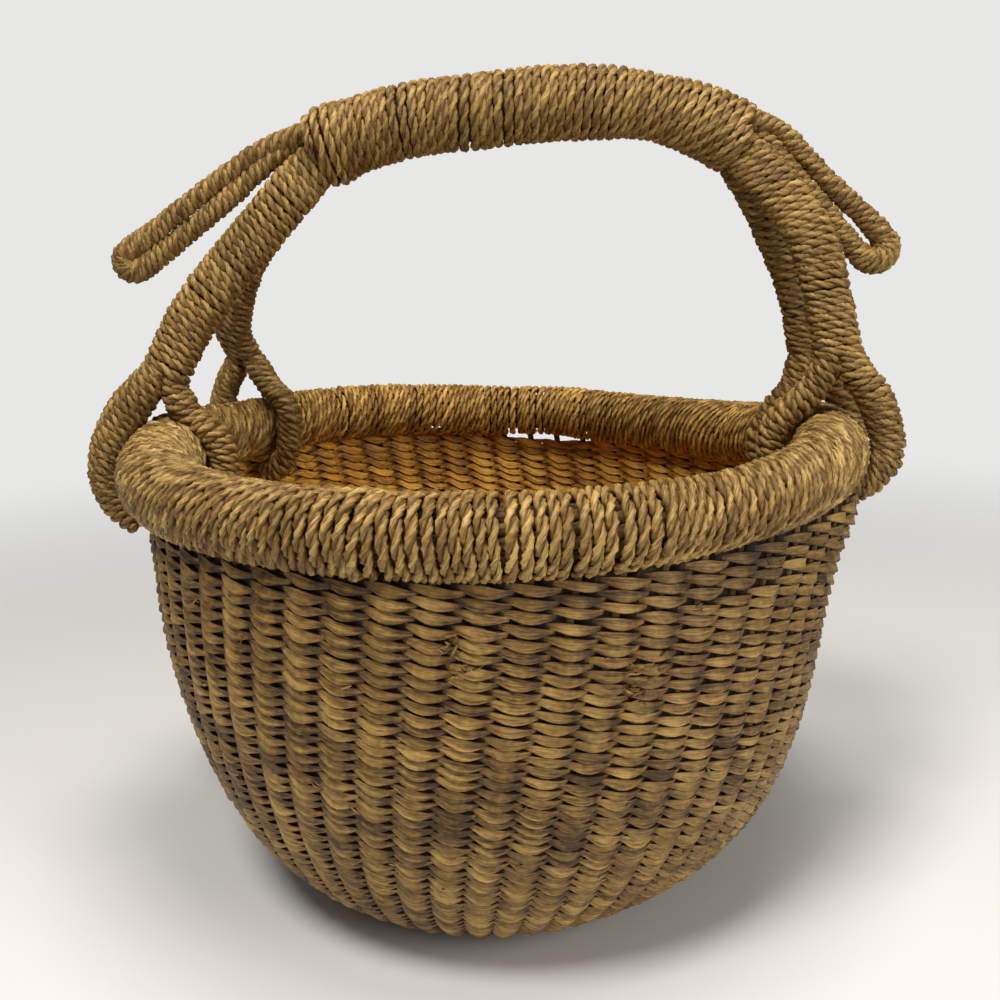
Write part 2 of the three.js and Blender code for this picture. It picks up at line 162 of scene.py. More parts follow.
# Cords wound round the handle: ply radius, and distance between turns and along one twist
WOUND_APART = (0.4, 0.66)
PLY_REACH = 1.75
WOUND_PITCH = 4.15
GRIP_PLY, GRIP_LAY, GRIP_RINGS = 1.55, 17.0, 38
LEG_PLY, LEG_LAY, PRONG_LAY, PRONG_RINGS = 1.6, 14.0, 13.0, 22
EAR_PLY, EAR_LAY, EAR_PITCH, EAR_RINGS = 1.5, 12.0, 3.8, 16
# Shade of the dark linings under the cords and of the fill straws in the wall, painted shade in their gaps
LINING_PAINTED_SHADE = -4.0
ROD_REFERENCE = (0.0, 1.0, 0.05)
EAR_REFERENCE = (0.0, 1.0, 0.03)

# Handle, as in the solids apart from small bends and swells
ROD_RADIUS = 4.6
ROD_SPREAD = 4.5
ARCH_SPREAD = 4.95
GRIP_SHIFT = 19.0
GRIP_HEIGHT = 383.0
GRIP_HALF_LENGTH = 98.0
GRIP_CREST = 21.0
GRIP_DROOP = 18.6
GRIP_DROOP_POWER = 2.6
GRIP_END_EASE = 2.0
GRIP_DIP = 1.5
GRIP_DIP_PLACE = -4.0
GRIP_DIP_REACH = 22.0
GRIP_DROP = 3.2
GRIP_HOLLOW = 14.2
GRIP_CORE = 16.0
GRIP_PACK = 13.2
GRIP_RADIUS = 18.3
GRIP_STATIONS = (-0.93, -0.6, -0.2, 0.2, 0.6, 0.93)
FORK_RISE = 45.0
PRONG_RADIUS = 8.6
LEG_RADIUS = 7.6
PRONG_HUG = 26.8
OUTER_RISE = 42.0
OUTER_TUCK = 29.0
INNER_TIP_ANGLE = -74.0
PRONG_SHARES = (1.0, 0.68, 0.36)
PRONG_ANGLES = (0.0, 21.0, 42.0, 62.0)
PRONGS = {
    "front_left": {
        "azimuth": 185, "fork_inset": 2, "bow": 31.4, "tip": -62,
        "swell": 2.8, "shoulder": 4.4, "toe": 3.3, "tuck": 30.5,
    },
    "rear_left": {
        "azimuth": 151, "fork_inset": 0, "bow": 27.5, "tip": -58,
        "swell": 0.0, "shoulder": 3.0, "inner_shoulder": -4.0, "slim": 0.8,
    },
    "front_right": {
        "azimuth": -11, "fork_inset": -2, "bow": 26.8, "tip": -58,
        "swell": 0.8, "shoulder": 2.0, "toe": -2.0, "tuck": 21.8,
    },
    "rear_right": {
        "azimuth": 8, "fork_inset": -2, "bow": 27.5, "tip": -48,
        "swell": 3.0, "shoulder": 2.5, "hug": 3.4, "inner_shoulder": 4.5,
    },
}
KNEES = {
    "front_left": {"azimuth": 184.2, "inset": 29, "share": 0.35},
    "rear_left": {"azimuth": 159.8, "inset": 9, "share": 0.333},
    "front_right": {"azimuth": -6.7, "inset": 7, "share": 0.42},
    "rear_right": {"azimuth": 6.1, "inset": 10.5, "share": 0.374},
}
LEG_BENDS = {
    "front_left": ((88, 34, (1.4, 0.0, -1.0)), (20, 30, (-1.7, 0.0, 0.0))),
    "rear_left": ((52, 24, (5.6, 0.0, 0.0)), (12, 16, (-5.0, 0.0, 0.0)), (88, 22, (3.0, 0.0, 0.0))),
    "front_right": ((38, 20, (-2.2, 0.0, 0.0)), (0, 14, (1.0, 0.0, 0.0))),
    "rear_right": ((52, 28, (-2.0, 0.0, 0.0)),),
}
LEG_SWELL = {"front_left": 0.9}
EAR_CORE = 2.6
EAR_RADIUS = 5.7
EAR_BURIED = 42.0
EAR_SPREAD = 6.4
EAR_SHARES = (0.1, 0.4, 0.62, 0.84, 1.0)
EARS = {
    "left": {
        "side": -1, "start": 17, "rise": 1.7, "past": 12.0, "aside": -2, "share": 0.449, "tip_swell": 1.2,
        "above": (5.2, 6.2, 5.9, 5.2, 4.7), "below": (0.6, 2.8, 4.2, 5.0, 4.7),
    },
    "right": {
        "side": 1, "start": 11, "rise": 5.6, "past": 23.6, "aside": 3, "share": 0.419, "tip_swell": 1.6,
        "above": (5.2, 6.2, 6.5, 7.7, 7.0), "below": (1.8, 3.2, 3.5, 5.6, 6.1),
    },
}
MOUTH_MIDDLE = np.array([GRIP_SHIFT, 0.0, RIM_HEIGHT])

rng = np.random.default_rng(11)


# Vectors and lines
def unit(vectors):
    return vectors / np.linalg.norm(vectors, axis=-1, keepdims=True)


def dot(a, b):
    return np.sum(a * b, axis=-1, keepdims=True)


def blend(start, end, share):
    return start + (end - start) * share


def bell(value, middle, reach):
    """1 at the middle, falling smoothly to nearly 0 at twice the reach."""
    return np.exp(-(((value - middle) / reach) ** 2))


def smoothstep(value, low, high):
    share = np.clip((value - low) / (high - low), 0.0, 1.0)
    return share * share * (3 - 2 * share)


def lengths_along(line):
    steps = np.linalg.norm(np.diff(line, axis=0), axis=1)
    return np.concatenate([[0.0], np.cumsum(steps)])


def smooth_line(points, steps=24):
    """A centripetal curve through the points, as dense points."""
    points = np.asarray(points, float)
    first = 2 * points[0] - points[1]
    last = 2 * points[-1] - points[-2]
    knots = np.vstack([first, points, last])
    share = (np.arange(steps) / steps)[:, None]
    pieces = []
    for before, start, end, after in zip(knots, knots[1:], knots[2:], knots[3:]):
        pairs = ((before, start), (start, end), (end, after))
        gaps = [max(np.linalg.norm(b - a) ** 0.5, 1e-6) for a, b in pairs]
        leave = (start - before) / gaps[0] - (end - before) / (gaps[0] + gaps[1]) + (end - start) / gaps[1]
        arrive = (end - start) / gaps[1] - (after - start) / (gaps[1] + gaps[2]) + (after - end) / gaps[2]
        leave, arrive = leave * gaps[1], arrive * gaps[1]
        bend = -3 * start + 3 * end - 2 * leave - arrive
        twist = 2 * start - 2 * end + leave + arrive
        pieces.append(start + leave * share + bend * share**2 + twist * share**3)
    pieces.append(points[-1:])
    return np.vstack(pieces)


def between(places, along, values):
    return np.stack([np.interp(places, along, values[:, axis]) for axis in range(values.shape[1])], axis=1)


def at_lengths(line, lengths):
    return between(lengths, lengths_along(line), line)


def evenly(line, count):
    return at_lengths(line, np.linspace(0, lengths_along(line)[-1], count))


def tangents_of(line):
    return unit(np.gradient(line, axis=0))


def ring_tangents(rings):
    return unit(np.roll(rings, -1, axis=1) - np.roll(rings, 1, axis=1))


def across_lines(vectors, tangents):
    """The vectors with their part along the tangents taken away."""
    return unit(vectors - dot(vectors, tangents) * tangents)


def degrees_off(turn, middle):
    """Degrees from a middle azimuth, from -180 to 180."""
    return np.degrees(np.angle(np.exp(1j * (turn - math.radians(middle)))))


def spot(turn, middle, width):
    """A bell round a middle azimuth. middle and width are in degrees."""
    return bell(degrees_off(turn, middle), 0, width)


def level_way(turn):
    return np.stack([np.cos(turn), np.sin(turn), 0 * turn], 1)


def wander(count, reach, spread):
    """A slow random wave over this many places, which takes about reach places to change."""
    knots = max(int(count / reach), 2) + 2
    values = rng.normal(0, spread, knots)
    place = np.linspace(0, knots - 1.001, count)
    low = place.astype(int)
    share = smoothstep(place - low, 0.0, 1.0)
    return values[low] * (1 - share) + values[np.minimum(low + 1, knots - 1)] * share


def uneven_place(points):
    """The points, moved with the bowl's lean and with the rim's lift above its level plane."""
    turn = np.arctan2(points[..., 1], points[..., 0])
    lift = SADDLE_LIFT * np.cos(2 * turn + 2 * SADDLE_TURN) + RIGHT_LIFT * np.cos(3 * turn)
    for middle, width, size in RIM_DIPS:
        lift = lift + size * spot(turn, middle, width)
    below = smoothstep(points[..., 2], 0, RIM_HEIGHT)
    above = smoothstep(points[..., 2], RIM_HEIGHT, GRIP_HEIGHT - GRIP_DROOP - GRIP_CORE)
    return points + np.stack([BOWL_LEAN * below, 0 * below, lift * below * (1 - above)], -1)


# Meshes
def new_object(name, data):
    made = bpy.data.objects.new(name, data)
    bpy.context.scene.collection.objects.link(made)
    return made


class Tubes:
    """Gathers closed tubes into one mesh, with their length as a map, a shade for each point that holds
    random tone and painted shade, and a share of painted light for each point.
    """

    def __init__(self):
        self.points, self.shades, self.golds, self.faces, self.maps = [], [], [], [], []
        self.count = 0

    def add(
        self, centres, tangents, sideways, wide, thick, shade,
        sides=8, closed=False, gold=0.0, section=None, edge=0.0,
    ):
        """Tubes along centres (tube, ring, xyz). sideways is where width points. edge adds painted shade and
        light by side.
        """
        tubes, rings, _ = centres.shape
        other = np.cross(tangents, sideways)
        angle = 2 * np.pi * np.arange(sides) / sides
        across, through = section or (np.cos(angle), np.sin(angle))
        ring = (
            centres[:, :, None]
            + (wide[:, :, None] * across)[..., None] * sideways[:, :, None]
            + (thick[:, :, None] * through)[..., None] * other[:, :, None]
        )
        self.points.append(ring.reshape(-1, 3))
        self.shades.append((shade[..., None] + np.broadcast_to(edge, sides)).ravel())
        self.golds.append(np.broadcast_to(gold, (*shade.shape, sides)).ravel())
        first = self.count + np.arange(tubes)[:, None] * rings * sides
        here = first + np.arange(rings if closed else rings - 1) * sides
        there = first + ((np.arange(here.shape[1]) + 1) % rings) * sides
        side = np.arange(sides)
        after = (side + 1) % sides
        here, there = here[..., None], there[..., None]
        quads = np.stack([here + side, here + after, there + after, there + side], -1)
        self.faces.append(quads.reshape(-1, 4))
        steps = np.linalg.norm(np.roll(centres, -1, axis=1) - centres, axis=2)[:, : here.shape[1]]
        ends = np.cumsum(steps, axis=1) + 1000.0 * np.arange(tubes)[:, None]
        starts = ends - steps
        low, high = side / sides, (side + 1) / sides
        u = np.broadcast_to(np.stack([starts, starts, ends, ends], -1)[..., None, :], quads.shape)
        v = np.broadcast_to(np.stack([low, high, high, low], -1), quads.shape)
        self.maps.append(np.stack([u, v], -1).reshape(-1, 2))
        if not closed:
            for start, length in zip(first[:, 0], starts[:, 0]):
                self.faces.append(start + side[::-1][None])
                self.faces.append(start + (rings - 1) * sides + side[None])
                self.maps.append(np.zeros((2 * sides, 2)) + [length, 0.5])
        self.count += tubes * rings * sides

    def add_line(self, line, reference, wide, flatness, shade, sides=4):
        """One open tube. reference is about where its width points, and flatness is thickness by width."""
        tangents = tangents_of(line)
        sideways = across_lines(reference, tangents)
        wide = wide[None]
        self.add(line[None], tangents[None], sideways[None], wide, flatness * wide, shade[None], sides)

    def build(self, name, material, slot, *nodes, crisp=()):
        """Makes the piece. crisp tells which corners of a float's section are sharp edges."""
        points = uneven_place(np.concatenate(self.points))
        corners = np.concatenate([face.ravel() for face in self.faces])
        sizes = np.concatenate([np.full(len(face), face.shape[1]) for face in self.faces])
        mesh = bpy.data.meshes.new(name)
        mesh.vertices.add(len(points))
        mesh.vertices.foreach_set("co", (points * MM).ravel())
        mesh.loops.add(len(corners))
        mesh.loops.foreach_set("vertex_index", corners.astype(np.int32))
        mesh.polygons.add(len(sizes))
        mesh.polygons.foreach_set("loop_start", (np.cumsum(sizes) - sizes).astype(np.int32))
        mesh.polygons.foreach_set("loop_total", sizes.astype(np.int32))
        layer = mesh.uv_layers.new(name="Strand")
        layer.data.foreach_set("uv", (np.concatenate(self.maps) * [0.01, 1.0]).ravel())
        for kind, values in (("shade", self.shades), ("gold", self.golds)):
            mesh.attributes.new(kind, "FLOAT", "POINT").data.foreach_set("value", np.concatenate(values))
        mesh.update(calc_edges=True)
        mesh.shade_smooth()
        if crisp:
            ends = np.zeros(2 * len(mesh.edges), np.int32)
            mesh.edges.foreach_get("vertices", ends)
            low, high = (ends.reshape(-1, 2) % FLOAT_SIDES).T
            mesh.attributes.new("sharp_edge", "BOOLEAN", "EDGE").data.foreach_set(
                "value", (low == high) & np.isin(low, crisp)
            )
        piece = new_object(name, mesh)
        mesh.materials.append(material)
        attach(piece, "root")
        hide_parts(*nodes)
        return piece


# Materials
# Painted light: faces inside the bowl are multiplied by this, brighter and warmer, as if lit there
INSIDE_PAINTED_LIGHT = (2.35, 2.0, 1.0, 1)


def set_inputs(node, **values):
    for name, value in values.items():
        node.inputs[name].default_value = value
    return node


def new_material(name, roughness):
    material = bpy.data.materials.new(name)
    material.use_nodes = True
    nodes, links = material.node_tree.nodes, material.node_tree.links
    return material, nodes, links, set_inputs(nodes["Principled BSDF"], Roughness=roughness)


def add_node(nodes, kind, **values):
    return set_inputs(nodes.new("ShaderNode" + kind), **values)


def straw_material(name, dark, middle, pale, roughness, bump):
    """Dry straw: streaks along the strand, a shade for each strand with painted shade and highlights in it,
    stains, painted light inside the bowl as a brighter, warmer tint, and a fibre bump.
    """
    material, nodes, links, shader = new_material(name, roughness)
    shader.inputs["Specular IOR Level"].default_value = 0.35
    place = add_node(nodes, "UVMap")
    place.uv_map = "Strand"

    def noise(source, scale, stretch, detail):
        mapping = add_node(nodes, "Mapping", Scale=stretch)
        texture = add_node(nodes, "TexNoise", Scale=scale, Detail=detail)
        links.new(source, mapping.inputs["Vector"])
        links.new(mapping.outputs["Vector"], texture.inputs["Vector"])
        return texture.outputs["Fac"]

    def weigh(parts, start):
        total = None
        for value, weight in parts:
            step = add_node(nodes, "Math")
            step.operation = "MULTIPLY_ADD"
            links.new(value, step.inputs[0])
            step.inputs[1].default_value = weight
            if total is None:
                step.inputs[2].default_value = start
            else:
                links.new(total, step.inputs[2])
            total = step.outputs["Value"]
        return total

    body = add_node(nodes, "TexCoord").outputs["Object"]
    fibres = noise(place.outputs["UV"], 1.0, (6.0, 12.0, 1.0), 3.0)
    fine = noise(place.outputs["UV"], 1.0, (12.0, 36.0, 1.0), 2.0)
    stains = noise(body, 28.0, (1.0, 1.0, 1.0), 3.0)
    specks = noise(body, 420.0, (1.0, 1.0, 1.0), 1.0)
    shade = add_node(nodes, "Attribute")
    shade.attribute_name = "shade"
    parts = ((shade.outputs["Fac"], 0.085), (fibres, 0.8), (fine, 0.7), (stains, 0.4), (specks, 0.3))
    ramp = add_node(nodes, "ValToRGB")
    links.new(weigh(parts, -0.58), ramp.inputs["Fac"])
    low, high = ramp.color_ramp.elements
    low.position, low.color = 0.24, (*dark, 1)
    high.position, high.color = 0.8, (*pale, 1)
    ramp.color_ramp.elements.new(0.51).color = (*middle, 1)
    # Painted light: a second attribute multiplies the colour towards the inside tint
    gold = add_node(nodes, "Attribute")
    gold.attribute_name = "gold"
    warm = add_node(nodes, "Mix")
    warm.data_type = "RGBA"
    warm.blend_type = "MULTIPLY"
    warm.clamp_factor = False
    warm.clamp_result = True
    warm.inputs["B"].default_value = INSIDE_PAINTED_LIGHT
    links.new(gold.outputs["Fac"], warm.inputs["Factor"])
    links.new(ramp.outputs["Color"], warm.inputs["A"])
    links.new(warm.outputs["Result"], shader.inputs["Base Color"])
    relief = add_node(nodes, "Bump", Strength=bump, Distance=0.0004)
    links.new(weigh(((fibres, 0.7), (fine, 0.5), (specks, 0.2)), 0.0), relief.inputs["Height"])
    links.new(relief.outputs["Normal"], shader.inputs["Normal"])
    return material


# Name, dark, middle and pale colour, roughness and bump of each straw
STRAWS = (
    ("cord_straw", (0.11, 0.052, 0.01), (0.262, 0.15, 0.038), (0.64, 0.425, 0.14), 0.5, 0.6),
    ("leg_straw", (0.1, 0.047, 0.009), (0.24, 0.137, 0.034), (0.52, 0.33, 0.1), 0.55, 0.6),
    ("wall_straw", (0.05, 0.024, 0.006), (0.228, 0.127, 0.031), (0.48, 0.3, 0.085), 0.55, 0.7),
    # core_straw's dark end is nearly black, so that the fill straws show as painted shade in the wall's gaps
    ("core_straw", (0.012, 0.006, 0.003), (0.09, 0.048, 0.015), (0.24, 0.14, 0.045), 0.7, 0.6),
)
cord_straw, leg_straw, wall_straw, core_straw = (straw_material(*facts) for facts in STRAWS)


# Bowl wall
def wall_outline(inset):
    """Dense points (radius, height) of a face of the wall, from under the roll down to the foot."""
    foot = math.acos((FOOT_RADIUS / BOWL_RADIUS) ** (SHOULDER_FULLNESS / 2))
    top = math.asin(TOP_DEPTH / RIM_HEIGHT)
    share = np.linspace(0, 1, 200)
    angle = blend(top, foot, share)
    radius = BOWL_RADIUS * np.cos(angle) ** (2 / SHOULDER_FULLNESS)
    height = RIM_HEIGHT * (1 - np.sin(angle))
    line = np.stack([radius, height], 1)
    direction = tangents_of(line)
    line += inset * np.stack([direction[:, 1], -direction[:, 0]], 1)
    foot_height = RIM_HEIGHT * (1 - math.sin(foot))
    line[:, 1] -= foot_height * share**4
    return line


# The wall's middle, from under the roll to the middle of the base, with the way down softened at the foot
wall_line = wall_outline(WALL_MIDDLE)
base_line = np.stack([np.linspace(wall_line[-1, 0], 3.0, 60)[1:], np.full(59, WALL_MIDDLE)], 1)
skin_line = np.vstack([wall_line, base_line])
skin_tangents = tangents_of(skin_line)
for _ in range(6):
    skin_tangents[1:-1] = unit(skin_tangents[:-2] + 2 * skin_tangents[1:-1] + skin_tangents[2:])
skin_lengths = lengths_along(skin_line)


def skin_at(depth):
    """Radius and height on the wall's middle at a distance down from its top, and the way down there."""
    point = [np.interp(depth, skin_lengths, skin_line[:, axis]) for axis in (0, 1)]
    down = [np.interp(depth, skin_lengths, skin_tangents[:, axis]) for axis in (0, 1)]
    return point, down


def bulge_at(azimuth, depth):
    """How far the hand-made wall stands out of its plain outline."""
    bulges = [
        size * spot(azimuth, turn, width) * bell(depth, middle, reach)
        for turn, width, middle, reach, size in WALL_BULGES
    ]
    return sum(bulges)


def on_wall(azimuth, depth, out):
    """Points of the wall in space, with the way up and the way out. out is their distance off the middle."""
    (radius, height), (down_r, down_z) = skin_at(depth)
    cos, sin = np.cos(azimuth), np.sin(azimuth)
    up = np.stack([-down_r * cos, -down_r * sin, -down_z], -1)
    outward = np.stack([-down_z * cos, -down_z * sin, down_r], -1)
    point = np.stack([radius * cos, radius * sin, height + 0 * azimuth], -1)
    return point + (out + bulge_at(azimuth, depth))[..., None] * outward, up, outward


def stake_shift(depth):
    """How far the stakes have drifted to one side on their way down, in stakes."""
    _, height = skin_at(depth)[0]
    return STAKE_DRIFT_START - STAKE_DRIFT * (STAKE_DRIFT_HEIGHT - height)


def pitch_at(depth):
    return np.interp(depth, *zip(*ROW_PITCH))


def row_depths():
    depths, depth = [], FIRST_ROW
    while depth < skin_lengths[-1] - 6.0:
        depths.append(depth)
        depth += pitch_at(depth)
    return np.array(depths)


def twined_row(tubes, depth, pitch, stakes):
    """One row: two strands that cross between the stakes, and float over them outside and inside by turns."""
    rings = stakes * RINGS_PER_STAKE
    place = np.arange(rings) / RINGS_PER_STAKE
    azimuth = np.radians((place * STAKES / stakes + stake_shift(depth)) * COLUMN_ANGLE)
    near_roll = math.exp(-max(depth - FIRST_ROW, 0) / 9.0)
    slots = SLOT_DROP * near_roll * np.exp(-((degrees_off(azimuth, SLOT_AZIMUTH) / SLOT_WIDTH) ** 4))
    loose_side = (0.5 + 0.5 * np.cos(azimuth - math.radians(LOOSE_AZIMUTH))) ** 1.5
    loose = loose_side * (1 - smoothstep(depth, *LOOSE_DEPTHS))
    loose = np.clip(loose + 0.35 * near_roll, 0, 1)
    row_wave = wander(rings, rings / 7, 0.35)
    row_wave += (row_wave[0] - row_wave[-1]) * np.linspace(0, 1, rings)
    column = np.round(place).astype(int) % stakes

    def each_float(kind):
        values = rng.normal(0, FLOAT_SPREADS[kind], stakes)
        share = place - np.floor(place)
        low = np.floor(place).astype(int) % stakes
        return values[low] * (1 - share) + values[(low + 1) % stakes] * share

    centres, ups, wides, thicks, shades = [], [], [], [], []
    for strand in (0, 1):
        phase = np.pi * (place + strand)
        over = np.cos(phase) ** 2
        reach = FLOAT_REACH + each_float("reach")
        out = reach * np.cos(phase - FLOAT_LEAD)
        scale = pitch / MIDDLE_PITCH
        sag = FLOAT_SAG * (1.3 - 1.2 * loose)
        drop = blend(FLOAT_DROP, LOOSE_DROP, loose)
        lower = scale * (drop * np.sin(phase) + sag * over) + each_float("drop") + row_wave + slots
        point, up, outward = on_wall(azimuth, depth + lower, out)
        tilt = (FLOAT_TILT + each_float("tilt")) * np.cos(phase)
        centres.append(point)
        ups.append(up * np.cos(tilt)[:, None] - outward * np.sin(tilt)[:, None])
        half = blend(TIGHT_HALF_HEIGHT, LOOSE_HALF_HEIGHT, loose) * pitch * (1 + each_float("height"))
        fullness = np.cos(phase - FLOAT_FULL) ** 2
        wides.append(blend(CROSSING_HALF_HEIGHT * scale, half, fullness**0.66))
        thicks.append(blend(CROSSING_HALF_THICKNESS, FLOAT_HALF_THICKNESS, over))
        tone = rng.normal(0, FLOAT_SPREADS["shade"], stakes)[column] + rng.normal(0, STRAND_SHADE_SPREAD)
        # Painted shade where the strand crosses between the stakes
        shades.append(tone - CROSSING_PAINTED_SHADE * (1 - over) ** 2)
    centres = np.stack(centres)
    tangents = ring_tangents(centres)
    sideways = across_lines(np.stack(ups), tangents)
    wide, thick, shade = (np.stack(values) for values in (wides, thicks, shades))
    # Painted shade on the float's upper and lower edges, painted light on its inner face
    look = dict(gold=FLOAT_PAINTED_LIGHT, section=FLOAT_SECTION, edge=FLOAT_EDGE_PAINTED_SHADE)
    tubes.add(centres, tangents, sideways, wide, thick, shade, FLOAT_SIDES, True, **look)


def stakes_at(radius):
    """How many stakes a row goes round. Towards the middle of the base there are fewer."""
    if radius > 46:
        return STAKES
    return STAKES // 2 if radius > 23 else STAKES // 4


def add_rows():
    depths = row_depths()
    starts = range(0, len(depths), ROWS_PER_PIECE)
    for number, start in enumerate(starts, 1):
        band = Tubes()
        for depth in depths[start : start + ROWS_PER_PIECE]:
            (radius, _), _ = skin_at(depth)
            twined_row(band, depth, pitch_at(depth), stakes_at(radius))
        name = "twined_rows_%d" % number
        band.build(name, wall_straw, "wall_straw", "outer_weave", "inner_weave", crisp=FLOAT_CORNERS)


add_rows()


def lines_down(numbers, depth):
    """Lines down the wall at these stakes, their way along and across, and how far out they are."""
    azimuth = np.radians((numbers + stake_shift(depth)) * COLUMN_ANGLE)
    centres, ups, outwards = on_wall(azimuth, np.broadcast_to(depth, azimuth.shape), 0 * azimuth)
    tangents = unit(np.gradient(centres, axis=1))
    sideways = across_lines(np.cross(outwards, ups), tangents)
    return centres, tangents, sideways, np.hypot(centres[..., 0], centres[..., 1])


def add_stakes():
    """The stakes, the dark straws that fill the wall between them as painted shade in its gaps, and the knot
    in the middle of the base.
    """
    stakes = Tubes()
    for first, every, last_radius in ((0, 4, 3.0), (2, 4, 21.0), (1, 2, 42.0)):
        last = np.interp(-last_radius, -skin_line[:, 0], skin_lengths)
        depth = np.linspace(0.0, last, 64)
        numbers = np.arange(first, STAKES, every)[:, None]
        *frames, radius = lines_down(numbers, depth)
        wide = np.minimum(STAKE_HALF_WIDTH, 0.036 * radius * every / 2 + 0.4)
        thick = np.full(wide.shape, STAKE_HALF_THICKNESS)
        shade = np.repeat(rng.normal(0, 1, numbers.shape), len(depth), 1)
        stakes.add(*frames, wide, thick, shade, 6)
    gaps = (np.arange(STAKES) + 0.5)[:, None]
    tops = np.radians((gaps + STAKE_DRIFT_START) * COLUMN_ANGLE)
    at_slots = np.abs(degrees_off(tops, SLOT_AZIMUTH)) < SLOT_WIDTH + 2
    drop = SLOT_FILL_DROP * at_slots * np.linspace(1, 0, 48)
    depth = np.linspace(-1.0, skin_lengths[-1], 48) + drop
    *frames, radius = lines_down(gaps, depth)
    wide = radius * math.radians(COLUMN_ANGLE) * 0.52
    thick = np.full(wide.shape, FILL_HALF_THICKNESS)
    # The fill straws are painted shade in the gaps from outside, and their inward corner is pale, painted
    # light inside
    stakes.add(*frames, wide, thick, np.full(wide.shape, LINING_PAINTED_SHADE), 4, edge=(0, 8, 0, 0))
    across = np.linspace(-5.0, 5.0, 4)
    for turn in (0.3, 0.3 + np.pi / 2):
        way = np.array([math.cos(turn), math.sin(turn), 0.0])
        knot = (across[:, None] * way + [0, 0, WALL_MIDDLE])[None]
        size = np.full((1, 4), 3.2)
        along = np.broadcast_to(way, knot.shape)
        beside = np.cross(UP, along)
        stakes.add(knot, along, beside, size, size * 0.3, 0 * size, 6)
    stakes.build("stakes", core_straw, "stake_straw", "warp_stakes")


add_stakes()


def add_stray_straws():
    """Frayed spots, and short straw ends that stick out between the rows."""
    strays = Tubes()
    spots = [(azimuth, depth, FRAYED_STRAWS, 2.4) for azimuth, depth in FRAYED_SPOTS]
    spots += [(rng.uniform(0, 360), rng.uniform(8, 180), 2, 1.0) for _ in range(STRAY_STRAWS)]
    share = np.linspace(0, 1, 5)[:, None]
    for azimuth, depth, count, spread in spots:
        for _ in range(count):
            turn = np.array([math.radians(azimuth) + rng.normal(0, spread) / BOWL_RADIUS])
            place = np.array([depth + rng.normal(0, spread)])
            point, up, outward = on_wall(turn, place, np.array([STRAY_STANDOFF]))
            slant = rng.normal(0, 0.6)
            way = rng.choice((-1, 1)) * math.cos(slant) * np.cross(outward, up) + math.sin(slant) * up
            length, rise = rng.uniform(2.5, 6), rng.uniform(0.2, 1.0)
            line = point + way * length * (share - 0.4) + outward * rise * 4 * share * (1 - share)
            size = rng.uniform(0.3, 0.6) * np.array([0.5, 1, 1, 0.8, 0.3])
            strays.add_line(line, up, size, 0.5, np.full(5, rng.normal(-1.0, 1.5)))
    strays.build("stray_straws", wall_straw, "wall_straw", "outer_weave")


add_stray_straws()


# Two-ply cord
def two_ply(tubes, centres, normals, ply, lay, apart, tone=0.7, gold=0.0, sides=6):
    """Two plies twisted round the line of a cord. ply is their radius. apart is how far they stand off the
    line in plies, out from the rod and along it."""
    tangents = tangents_of(centres)
    normals = across_lines(normals, tangents)
    beside = np.cross(tangents, normals)
    along = lengths_along(centres)
    turns = along / lay + wander(len(along), 90, 0.22)
    lines, fat = [], []
    ply = np.broadcast_to(ply, along.shape)
    for strand in (0, 1):
        angle = 2 * np.pi * (turns + strand / 2)
        off = normals * np.cos(angle)[:, None] * apart[0] + beside * np.sin(angle)[:, None] * apart[1]
        lines.append(centres + ply[:, None] * off)
        fat.append(ply * (1 + 0.08 * wander(len(along), 26, 1.0)))
    lines = np.stack(lines)
    ways = unit(np.gradient(lines, axis=1))
    sideways = across_lines(lines - centres[None], ways)
    fat = np.stack(fat)
    fat[:, [0, -1]] *= 0.3
    shade = np.stack([wander(len(along), 26, tone), wander(len(along), 26, tone)])
    # Painted shade in each ply's crease and a painted highlight on its crest
    painted_crease_and_crest = 2.0 * np.cos(2 * np.pi * np.arange(sides) / sides) - 0.9
    gold = np.asarray(gold)[..., None]
    tubes.add(lines, ways, sideways, fat, fat * 1.12, shade, sides, False, gold, edge=painted_crease_and_crest)


def stadium(share, radius, spread):
    """Places (across, outward) and their way out on an outline of two half circles, by share of length."""
    arc = np.pi * radius
    ends = np.cumsum([spread, arc, 2 * spread, arc], axis=0)
    walked = (share % 1.0) * (ends[3] + spread)
    over = [walked < end for end in ends]
    flat = 0 * walked
    angles = [flat, (walked - ends[0]) / radius, flat + np.pi, (walked - ends[2]) / radius + np.pi]
    levels = [walked, spread, spread - (walked - ends[1]), -spread]
    angle = np.select(over, angles, 0.0)
    level = np.select(over, levels, walked - ends[3] - spread)
    out = np.stack([np.cos(angle), np.sin(angle)], 1)
    return radius[:, None] * out + np.stack([flat, level], 1), out


